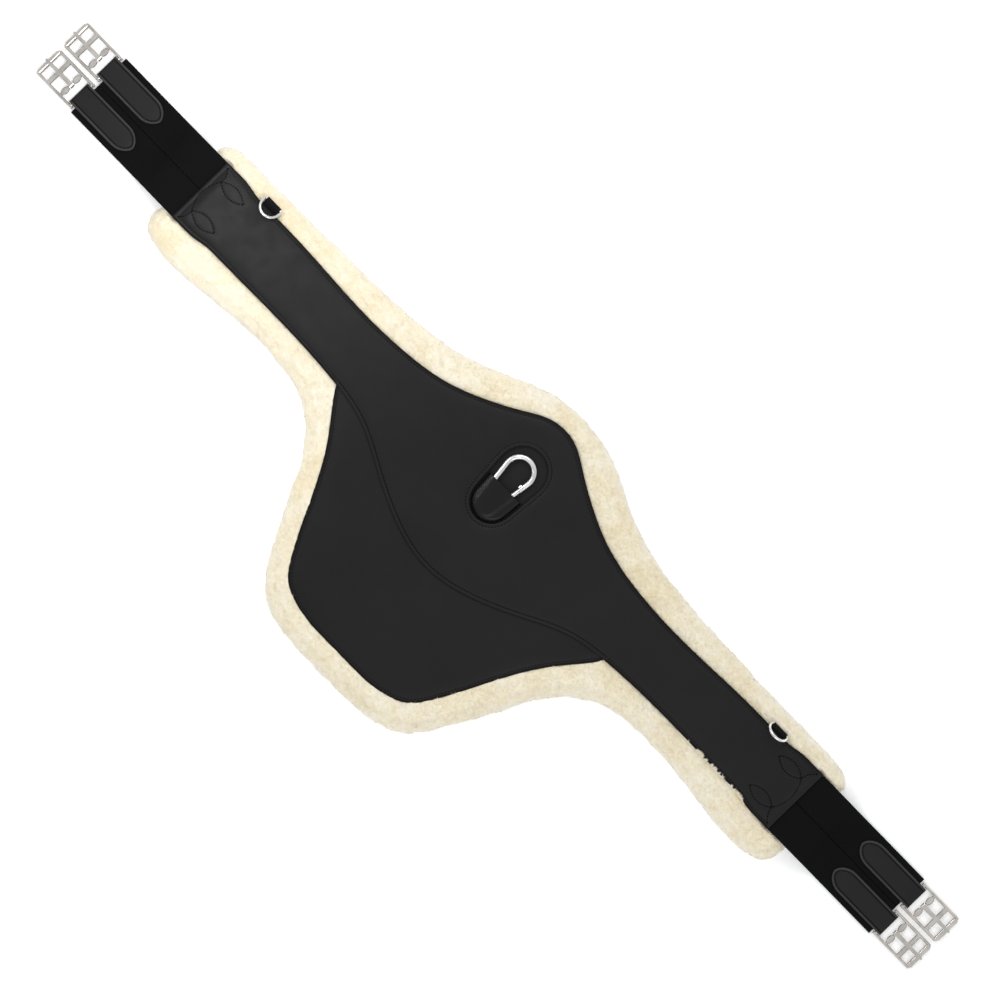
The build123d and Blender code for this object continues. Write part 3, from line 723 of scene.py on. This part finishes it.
def pile_between(flat):
    """The pile's height at the shoulder's points, then the hidden loop's, then those between."""
    height = pile(flat)
    height[:len(shoulder)] = PILE_SIDE[-1][1]
    height[len(shoulder):len(shoulder) + len(hidden_loop)] = PILE_UNDER
    return height


for edges, wide, surface in (([shoulder, hidden_loop], band, pile_between),
                             ([hidden_loop], hidden_loop[:0], level(PILE_UNDER)),
                             ([sole], under, level(PILE_SIDE[0][1]))):
    faces += filled(edges, count, wide)
    flat = np.vstack([*edges, wide])
    points.append(np.column_stack([flat, surface(flat)]))
    count += len(flat)
fleece = piece("fleece", np.vstack(points), faces, fleece_wool, replaces=["fleece_pad"])
weld(fleece, 0.02)


def push_out(made, amount):
    """Moves a mesh's points along their normals by amount(points in millimetres)."""
    mesh = made.data
    where, facing = np.empty(len(mesh.vertices) * 3), np.empty(len(mesh.vertices) * 3)
    mesh.vertices.foreach_get("co", where)
    mesh.vertices.foreach_get("normal", facing)
    where, facing = where.reshape(-1, 3), facing.reshape(-1, 3)
    where = where + facing * (amount(where / MM) * MM)[:, None]
    where[:, 2] = np.maximum(where[:, 2], PILE_LOWEST * MM)
    mesh.vertices.foreach_set("co", where.ravel())
    mesh.update()


push_out(fleece, wool_height)


def locks(name, root, out, lean, length, width):
    """Fine curved locks of wool, three triangles each, that rise along out and bend over to lean."""
    count = len(root)
    across = unit(np.cross(out, lean))
    long = (length * rng.uniform(0.55, 1.25, count))[:, None]
    wide = (width * rng.uniform(0.6, 1.3, count))[:, None] / 2
    base = root - out * 0.6
    middle = base + (out * 0.75 + lean * 0.45) * long * 0.55
    tip = middle + (out * 0.15 + lean * 0.95) * long * 0.45
    rows = [base - across * wide, base + across * wide, middle + across * wide * 0.8,
            middle - across * wide * 0.8, tip]
    points = np.stack(rows, 1).reshape(-1, 3)
    points[:, 2] = np.maximum(points[:, 2], PILE_LOWEST)
    first = np.arange(count) * 5
    faces = np.vstack([np.column_stack([first + k for k in trio])
                       for trio in ((0, 1, 2), (0, 2, 3), (3, 2, 4))])
    return piece(name, points, faces, fleece_wool)


def tufts(name, count, length, width, keep):
    """Locks spread over the fleece's faces that keep(centres, normals) chooses."""
    mesh = fleece.data
    mesh.calc_loop_triangles()
    corners = np.array([t.vertices for t in mesh.loop_triangles])
    where = np.array([v.co for v in mesh.vertices]) / MM
    a, b, c = (where[corners[:, k]] for k in range(3))
    normal = np.cross(b - a, c - a)
    area = np.linalg.norm(normal, axis=1) * keep((a + b + c) / 3, unit(normal))
    pick = rng.choice(len(corners), count, p=area / area.sum())
    u, v = rng.random((2, count))
    u, v = np.where(u + v > 1, (1 - u, 1 - v), (u, v))
    root = a[pick] * (1 - u - v)[:, None] + b[pick] * u[:, None] + c[pick] * v[:, None]
    out = unit(normal)[pick]
    lean = np.column_stack([ripple(root, 9.0, seed) for seed in (21.0, 34.0, 55.0)])
    lean = unit(lean + 0.35 * rng.normal(size=(count, 3)))
    lean = unit(lean - out * (lean * out).sum(1)[:, None])
    return locks(name, root, out, lean, length, width)


def showing(centres, normals):
    """The fleece that isn't under the leather, and faces up or outwards."""
    return ~inside(centres[:, :2], [inset(panel_loop, 0.6)]) & (normals[:, 2] > -0.55) \
        & (centres[:, 2] > 1.0) & (under_elastic(centres) < 0.3)


def below(centres, normals):
    return normals[:, 2] < -0.5


thin = 1
tufts("fleece_tufts_upper", 62000 // thin, 3.1, 0.42, showing)
tufts("fleece_tufts_lower", 40000 // thin, 3.2, 0.7, below)

# Wool that has worked its way up over the strap's rear edge, towards the +X end: a bank of short
# locks from the pile to the top of the edge, thicker in some places than in others
STRAY_FROM, STRAY_TO, STRAY_FADE = 288.0, 402.0, 18.0
STRAY_LOW, STRAY_RISE, STRAY_TOP = 24.0, 5.2, 28.4
strays = 11000 // thin
near_edge = strap_loop[(strap_loop[:, 1] < -30) & (strap_loop[:, 0] > STRAY_FROM)
                       & (strap_loop[:, 0] < STRAY_TO)]
near_edge = near_edge[np.argsort(near_edge[:, 0])]
x = rng.uniform(near_edge[0, 0], near_edge[-1, 0], strays)
edge = np.column_stack([x, np.interp(x, *near_edge.T)])
clump = 0.70 + 0.5 * ripple(edge, 13.0, 13.0) + 0.75 * ripple(edge, 1.9, 17.0)
clump = np.clip(clump, 0, 1) * ease(x, STRAY_FROM, STRAY_FROM + STRAY_FADE) \
    * (1 - ease(x, STRAY_TO - STRAY_FADE, STRAY_TO))
climb = rng.uniform(0, 1, strays) ** 0.6 * clump
root = np.column_stack([x, edge[:, 1] - 0.1 - 1.6 * (1 - climb),
                        np.minimum(STRAY_LOW + STRAY_RISE * climb, STRAY_TOP)])
lean = np.column_stack([0.5 * rng.normal(size=strays), np.ones(strays), 0.15 * rng.normal(size=strays)])
up = unit(np.column_stack([0.25 * rng.normal(size=(strays, 2)) + (0, 0.4), np.ones(strays)]))
locks("fleece_strays", root, up, unit(lean), 1.5 + 2.2 * climb * rng.uniform(0.5, 1.2, strays), 0.30)


# ---- The elastics ----
ELASTIC_BOX = [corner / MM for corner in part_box("elastic_right_front")]
ROW = (ELASTIC_BOX[0].y + ELASTIC_BOX[1].y) / 2
ENDS = [(side, sign, row, y) for side, sign in SIDES.items() for row, y in (("front", ROW), ("rear", -ROW))]
ELASTIC_W, ELASTIC_T = 2 * ROW - 0.0006, 2.9          # the pair all but touches
Z_HIGH, Z_LOW = ELASTIC_BOX[1].z - 1.5, ELASTIC_BOX[0].z + 1.5
DROP_FROM, DROP_TO = 449.0, 500.0
ELASTIC_FROM = 404.0                        # under the leather, past its flare
ELASTIC_TO = ELASTIC_BOX[1].x


def drop_path(x):
    """Height and slope of the elastic's middle at each x: two equal arcs between two levels."""
    run, drop = DROP_TO - DROP_FROM, Z_HIGH - Z_LOW
    turn = 2 * math.atan(drop / run)
    radius = run / (2 * math.sin(turn))
    first = np.clip(x - DROP_FROM, 0, run / 2)
    last = np.clip(DROP_TO - x, 0, run / 2)
    upper = Z_HIGH - radius + np.sqrt(radius ** 2 - first ** 2)
    lower = Z_LOW + radius - np.sqrt(radius ** 2 - last ** 2)
    height = np.where(x < (DROP_FROM + DROP_TO) / 2, upper, lower)
    lean = np.where(x < (DROP_FROM + DROP_TO) / 2, first, last) / radius
    return height, -lean / np.sqrt(1 - lean ** 2)


def tape_section(width, thick, count):
    """A flat tape's cross-section, (across, up), with rounded edges and slightly raised selvedges,
    and count points along each face."""
    half, r = width / 2, thick / 2
    turn = np.radians(np.linspace(-90, 90, 9))
    right = np.column_stack([half - r + r * np.cos(turn), r * np.sin(turn)])
    top = np.linspace(half - r, -(half - r), count)[1:-1]
    top = np.column_stack([top, r - 0.14 * ease(half - np.abs(top), 1.5, 4.0)])
    left = right * (-1, -1)
    return np.vstack([right, top, left, top * (-1, -1)])


def banded(name, stations, section, replaces):
    """Elastic swept along (x, y, z, slope) stations, in the plane along the girth."""
    points, starts = [], []
    for x, y, z, slope in stations:
        up = np.array([-slope, 0, 1]) / math.hypot(slope, 1)
        starts.append(len(points) * len(section))
        points.append(np.array([x, y, z]) + section[:, :1] * (0, 1, 0) + section[:, 1:] * up)
    faces = rings_to_faces(starts, len(section))
    faces += [tuple(range(len(section))), tuple(starts[-1] + k for k in range(len(section)))[::-1]]
    made = piece(name, np.vstack(points), faces, elastic_cloth, None, replaces)
    weld(made)
    return made


section = tape_section(ELASTIC_W, ELASTIC_T, 26)
for side, sign, row, y in ENDS:
    x = np.linspace(ELASTIC_FROM, ELASTIC_TO, 95)
    z, slope = drop_path(x)
    stations = np.column_stack([x * sign, np.full(len(x), y), z, slope * sign])
    made = banded(f"elastic_tape_{side}_{row}", stations, section, [f"elastic_{side}_{row}"])
    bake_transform(made)


# ---- The chapes ----
CHAPE_LOW, CHAPE_HIGH = (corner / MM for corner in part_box("chape_right_front"))
CHAPE_TIP, CHAPE_HALF = CHAPE_LOW.x, (CHAPE_HIGH.y - CHAPE_LOW.y) / 2
FOLD_R = (CHAPE_HIGH.z - CHAPE_LOW.z) / 2
FOLD_X = CHAPE_HIGH.x - FOLD_R
CHAPE_THICK, CHAPE_OGIVE, CHAPE_STITCH = 1.55, 19.0, 3.3


def chape_half(x):
    """The chape's half-width at each x: an ogive tip, then straight."""
    t = np.clip((x - CHAPE_TIP) / CHAPE_OGIVE, 0, 1)
    return CHAPE_HALF * np.maximum((1 - (1 - t) ** 2.1) ** 0.62, 0.012)


def both_edges(x, half):
    """The points along both edges of a shape of this half-width."""
    return np.vstack([np.column_stack([x, half]), np.column_stack([x, -half])])


rim_x = np.r_[CHAPE_TIP + CHAPE_OGIVE * np.linspace(0, 1, 40) ** 1.7,
              np.linspace(CHAPE_TIP + CHAPE_OGIVE + 1, FOLD_X + 30, 60)]
chape_rim = both_edges(rim_x, chape_half(rim_x))


def chape_relief(d):
    """The height of the chape's face at a distance from its edge: a raised bead, a groove for the
    stitches and a slight crown."""
    bead = 0.34 * ease(d, 0.0, 0.8) * (1 - ease(d, 1.7, 2.5))
    return bead - 0.20 * np.exp(-((d - CHAPE_STITCH) / 0.6) ** 2) + 0.10 * ease(d, 3.8, 9.0)


def chape(side, row, y):
    """A strip folded round the buckle's bar, its raised face up."""
    tip = CHAPE_TIP + CHAPE_OGIVE * np.linspace(0, 1, 34) ** 1.7
    x = np.r_[tip, np.linspace(tip[-1], FOLD_X, 46)[1:]]
    turn = np.radians(np.linspace(90, -90, 19))[1:-1]
    across = np.sin(np.linspace(-math.pi / 2, math.pi / 2, 41))
    path = [(px, FOLD_R, 0.0, 1.0, True) for px in x]
    path += [(FOLD_X + FOLD_R * math.cos(t), FOLD_R * math.sin(t), math.cos(t), math.sin(t), False)
             for t in turn]
    path += [(px, -FOLD_R, 0.0, -1.0, False) for px in x[::-1]]
    outer, inner = [], []
    for px, pz, nx, nz, face in path:
        half = chape_half(np.array([min(px, FOLD_X)]))[0]
        points = np.column_stack([np.full(len(across), px), across * half])
        d = nearest(points, chape_rim)
        lift = chape_relief(d) - 0.32 if face else np.full(len(across), -0.12)
        if not face and nz > 0:
            lift = -0.12 + (chape_relief(d) - 0.2) * nz
        lift = lift - 0.35 * (1 - ease(d, 0.0, 0.5))
        z = FOLD_R + pz
        outer.append(np.column_stack([points[:, 0] + nx * lift, points[:, 1], z + nz * lift]))
        inner.append(np.column_stack([points[:, 0] - nx * CHAPE_THICK, points[:, 1],
                                      np.full(len(across), z - nz * CHAPE_THICK)]))
    points = np.vstack([*outer, *inner]) * (SIDES[side], 1, 1) + (0, y, 0)
    made = piece(f"chape_leather_{side}_{row}", points, shells(len(path), len(across), 1), tab_leather,
                 f"strap_end_{side}_{row}", [f"chape_{side}_{row}"])
    weld(made)
    made.data.materials.append(bead_painted_highlight)
    made.data.materials.append(edge_paint_and_groove_shade)
    centres = np.array([f.center for f in made.data.polygons]) / MM
    d = nearest(centres[:, :2] * (SIDES[side], 1) - (0, y), chape_rim)
    upper = centres[:, 2] > 2 * FOLD_R - 1.2
    # The raised bead takes lighter leather as a painted highlight
    bead, groove = upper & (d < 1.9) & (d > 0.2), upper & (np.abs(d - CHAPE_STITCH) < 0.5)
    # The stitch groove takes the dark edge leather as painted shade
    made.data.polygons.foreach_set("material_index", bead + 2 * groove)


seam_x = CHAPE_TIP + np.r_[CHAPE_STITCH + 0.6, CHAPE_OGIVE * np.linspace(0.3, 1, 30) ** 1.3]
seam_x = np.r_[seam_x, FOLD_X - 1.0]
seam_y = np.maximum(chape_half(seam_x) - CHAPE_STITCH * 1.02, 0)
seam_y[0] = 0
chape_seam = np.vstack([np.column_stack([seam_x, seam_y])[::-1],
                        np.column_stack([seam_x, -seam_y])[1:]])
for side, sign, row, y in ENDS:
    chape(side, row, y)
    stitched(f"chape_stitching_{side}_{row}", [chape_seam * (sign, 1) + (0, y)],
             level(2 * FOLD_R - 0.34), f"strap_end_{side}_{row}", pitch=2.7, length=1.9, width=0.75)


# ---- The pouch over the snap hook's foot ----
POUCH_LOW, POUCH_HIGH = (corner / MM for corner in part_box("hook_tab"))
HOOK_LOW, HOOK_HIGH = (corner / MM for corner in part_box("hook_body"))
POUCH_TOP, POUCH_FOOT = (35.0, 24.6), (-8.5, 21.1)      # its egg shape: (y, radius) of two circles
HOOK_X = (HOOK_LOW.x + HOOK_HIGH.x) / 2
HOOK_Z = (HOOK_LOW.z + HOOK_HIGH.z) / 2
WIRE = (HOOK_HIGH.z - HOOK_LOW.z) / 2
BEND_TOP, BEND_FOOT = (32.0, 15.2), (-14.2, 9.2)        # the hook's own two bends, the same way


def egg_half(y, top, foot):
    """Half-width of two circles and their common tangents, below the upper circle's middle."""
    lean = math.asin((top[1] - foot[1]) / (top[0] - foot[0]))
    touch = foot[0] - foot[1] * math.sin(lean)
    round_part = np.sqrt(np.maximum(foot[1] ** 2 - (y - foot[0]) ** 2, 0))
    straight = foot[1] / math.cos(lean) + (y - foot[0]) * math.tan(lean)
    return np.where(y < touch, round_part, straight)


def hook_line():
    """Points along the middle of the hook's wire, as far as the pouch covers it."""
    lean = math.asin((BEND_TOP[1] - BEND_FOOT[1]) / (BEND_TOP[0] - BEND_FOOT[0]))
    turn = np.linspace(math.pi + lean, 2 * math.pi - lean, 40)
    bow = np.column_stack([BEND_FOOT[1] * np.cos(turn), BEND_FOOT[0] + BEND_FOOT[1] * np.sin(turn)])
    y = np.linspace(bow[0, 1], POUCH_HIGH.y + 6, 40)
    x = bow[-1, 0] + (y - bow[0, 1]) * math.tan(lean)
    return np.vstack([np.column_stack([-x[::-1], y[::-1]]), bow, np.column_stack([x, y])]) \
        + (HOOK_X, 0)


wire_line = hook_line()
rows, columns = 60, 57
foot_y = POUCH_FOOT[0] - POUCH_FOOT[1] + 0.03
pouch_y = foot_y + (POUCH_HIGH.y - foot_y) * (1 - np.cos(np.linspace(0, 1, rows) * math.pi / 2))
across = np.sin(np.linspace(-math.pi / 2, math.pi / 2, columns))
plan = np.array([(u * egg_half(y, POUCH_TOP, POUCH_FOOT), y)
                 for y in pouch_y for u in across])
rim_y = foot_y + (POUCH_HIGH.y + 12 - foot_y) * np.linspace(0, 1, 260) ** 2
rim_half = egg_half(rim_y, POUCH_TOP, POUCH_FOOT)
pouch_rim = both_edges(rim_y, rim_half)[:, ::-1]
d = nearest(plan, pouch_rim)
over_wire = nearest(plan, wire_line) * ~inside(plan, [wire_line])      # the gate swings inside it
BASE_Z = POUCH_LOW.z + 0.25
sheet_top = HOOK_Z + WIRE + 0.35
skirt = (1 - (1 - np.clip(d / 5.2, 0, 1)) ** 2.4) ** 0.75
skin = BASE_Z + 0.9 + (sheet_top - BASE_Z - 0.9) * skirt
skin = skin + 1.35 * np.exp(-(over_wire / 3.1) ** 2) * ease(d, 1.0, 5.0)
skin = skin + 0.14 * ripple(plan, 8.0, 6.0) * ease(d, 0.5, 4.0)
skin = skin - (skin - BASE_Z) * (1 - ease(d, 0.0, 0.6)) * 0.9
lining = np.maximum(skin - 1.5, BASE_Z + 0.9)
points = np.vstack([np.column_stack([plan, skin]), np.column_stack([plan * (0.985, 1), lining]),
                    np.column_stack([plan, np.full(len(plan), BASE_Z + 0.85)]),
                    np.column_stack([plan * 0.99, np.full(len(plan), POUCH_LOW.z + 0.06)])])
pouch = piece("hook_pouch", points, shells(rows, columns, 2), pouch_leather,
              "snap_hook", ["hook_tab"])
weld(pouch)


# ---- Finishes of the pieces that show as the CAD has them ----
FINISHES = {"hook_body": bright_steel, "hook_gate": bright_steel, "hook_rivet": bright_steel,
            "dee_ring": bright_steel, "buckle": buckle_steel, "dee_loop": web_cloth,
            "core_webbing": web_cloth, "lining_panel": lining_leather,
            "recess_liner": panel_leather, "fleece_backing": backing_cloth,
            "foam_core": foam_rubber, "guard_foam": foam_rubber}
for node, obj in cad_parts.items():
    for start, finish in FINISHES.items():
        if node.startswith(start):
            obj.data.materials.clear()
            obj.data.materials.append(finish)
            if finish in (bright_steel, buckle_steel):
                bevel = obj.modifiers.new("softened", "BEVEL")
                bevel.width, bevel.segments, bevel.limit_method = 0.35 * MM, 3, "ANGLE"
                bevel.angle_limit = math.radians(32)


# ---- Camera, light and floor ----
def floor_material():
    """Pale paper with a faint glow, as on a lit table, which keeps shadows light."""
    made, add, link, place = material("studio_floor", Specular_IOR_Level=0.05, Emission_Strength=0.22)
    grain = add("TexNoise", {"Vector": place, "Scale": 30.0})
    pale = ramp(add, grain.outputs["Fac"], [(0.3, 0.93), (0.7, 0.95)])
    link(pale, "Base Color")
    link(pale, "Emission Color")
    link(ramp(add, grain.outputs["Fac"], [(0.3, 0.95), (0.7, 1.0)]), "Roughness")
    return made


bpy.ops.mesh.primitive_plane_add(size=60, location=(0, 0, 0))
floor = bpy.context.object
floor.name = "floor"
floor.data.materials.append(floor_material())


def area_light(name, where, size, power, target=(0, 0, 0)):
    data = bpy.data.lights.new(name, "AREA")
    data.shape = "RECTANGLE"
    data.size, data.size_y = size
    data.energy = power
    lamp = bpy.data.objects.new(name, data)
    lamp.location = where
    lamp.rotation_euler = (Vector(target) - Vector(where)).to_track_quat("-Z", "Y").to_euler()
    lamp.visible_camera = False
    bpy.context.scene.collection.objects.link(lamp)


world = bpy.data.worlds.new("studio")
bpy.context.scene.world = world
world.use_nodes = True
sky = world.node_tree.nodes["Background"].inputs
sky["Color"].default_value = (0.97, 0.985, 1.0, 1)
sky["Strength"].default_value = 0.78
area_light("key", (-0.85, 1.3, 1.9), (1.1, 1.1), 12, (-0.1, 0, 0))
area_light("fill", (1.7, -1.2, 2.2), (1.8, 1.8), 14.5)
# Low over the left end, where it lights the leather but isn't mirrored in the buckles' tongues
area_light("end_sheen", (-0.385, 0.02, 0.45), (0.10, 0.22), 0.72, (-0.385, 0.02, 0))
area_light("side", (-1.2, -1.25, 1.2), (0.2, 0.2), 1.5)

TILT = 45.8                                 # how the girth lies across the picture
CAMERA_AT = (0.0047, -0.0012, 5.585)        # straight above the middle of the strap
data = bpy.data.cameras.new("camera")
data.sensor_width = 36
data.lens = 200
data.clip_end = 50
camera = bpy.data.objects.new("camera", data)
camera.location = CAMERA_AT
camera.rotation_euler = (0, 0, math.radians(TILT))
bpy.context.scene.collection.objects.link(camera)
bpy.context.scene.camera = camera
bpy.context.scene.view_settings.view_transform = "Standard"
